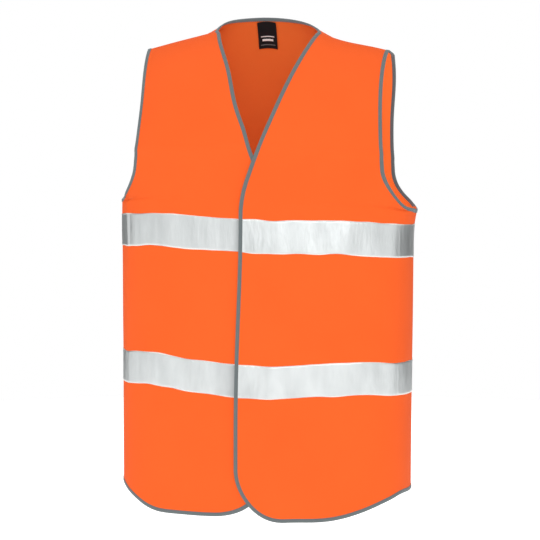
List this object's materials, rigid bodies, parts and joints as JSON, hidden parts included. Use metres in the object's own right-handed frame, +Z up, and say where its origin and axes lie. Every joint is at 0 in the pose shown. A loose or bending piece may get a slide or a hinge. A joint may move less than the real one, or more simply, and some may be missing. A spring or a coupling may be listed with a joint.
{
  "type": "high-visibility vest",
  "caption": "Orange sleeveless high-visibility vest with bound edges, two reflective tapes round the body and an overlapping hook and loop front.",
  "frame": {"origin": "midway between the two shoulder neck points, on the line where the shoulder seams meet the neck", "axes": "+Z up along the body, -Y out of the front, +X towards the wearer's left side"},
  "size_m": [0.4646, 0.2391, 0.7823],
  "materials": {
    "orange_cloth": "matt fluorescent knitted polyester",
    "binding": "matt woven tape",
    "reflective_tape": "silver with a satin sheen",
    "hook_and_loop": "matt",
    "black_label": "satin weave",
    "white_label": "satin weave"
  },
  "bodies": {
    "vest_body": {"left_front_side": "orange_cloth", "left_side_hem_binding": "binding", "left_neck_binding": "binding", "left_front_armhole_binding": "binding", "upper_tape_left_side": "reflective_tape", "lower_tape_left_side": "reflective_tape", "right_front_side": "orange_cloth", "right_side_hem_binding": "binding", "right_neck_binding": "binding", "right_front_armhole_binding": "binding", "upper_tape_right_side": "reflective_tape", "lower_tape_right_side": "reflective_tape", "back_panel": "orange_cloth", "back_neck_binding": "binding", "back_hem_binding": "binding", "left_back_armhole_binding": "binding", "right_back_armhole_binding": "binding", "upper_tape_back": "reflective_tape", "lower_tape_back": "reflective_tape", "left_side_seam": "orange_cloth", "left_shoulder_seam": "orange_cloth", "right_side_seam": "orange_cloth", "right_shoulder_seam": "orange_cloth"},
    "left_front": {"left_front_flap": "orange_cloth", "left_front_binding": "binding", "upper_tape_left_flap": "reflective_tape", "lower_tape_left_flap": "reflective_tape", "hook_patch_1": "hook_and_loop", "hook_patch_2": "hook_and_loop", "hook_patch_3": "hook_and_loop"},
    "right_front": {"right_front_flap": "orange_cloth", "right_front_binding": "binding", "upper_tape_right_flap": "reflective_tape", "lower_tape_right_flap": "reflective_tape", "loop_patch_1": "hook_and_loop", "loop_patch_2": "hook_and_loop", "loop_patch_3": "hook_and_loop"},
    "neck_label_tab": {"neck_label": "black_label"},
    "care_label_tab": {"care_label": "white_label"}
  },
  "joints": [
    {"name": "left_front_opens", "type": "hinge", "parent": "vest_body", "child": "left_front", "pos_m": [0.055, -0.1225, -0.235], "axis": [-0.1446, -0.0202, 0.9893], "range_deg": [0, 150]},
    {"name": "right_front_opens", "type": "hinge", "parent": "vest_body", "child": "right_front", "pos_m": [-0.055, -0.1225, -0.235], "axis": [0.1446, -0.0202, 0.9893], "range_deg": [-75, 0]},
    {"name": "neck_label_lifts", "type": "hinge", "parent": "vest_body", "child": "neck_label_tab", "pos_m": [0, 0.0709, 0.0182], "axis": [-1, 0, 0], "range_deg": [0, 80]},
    {"name": "care_label_lifts", "type": "hinge", "parent": "vest_body", "child": "care_label_tab", "pos_m": [0.22875, -0.0003, -0.64], "axis": [0, 0, -1], "range_deg": [0, 80]}
  ],
  "couplings": [
    {"joint": "right_front_opens", "follows": "left_front_opens", "ratio": -0.5}
  ]
}
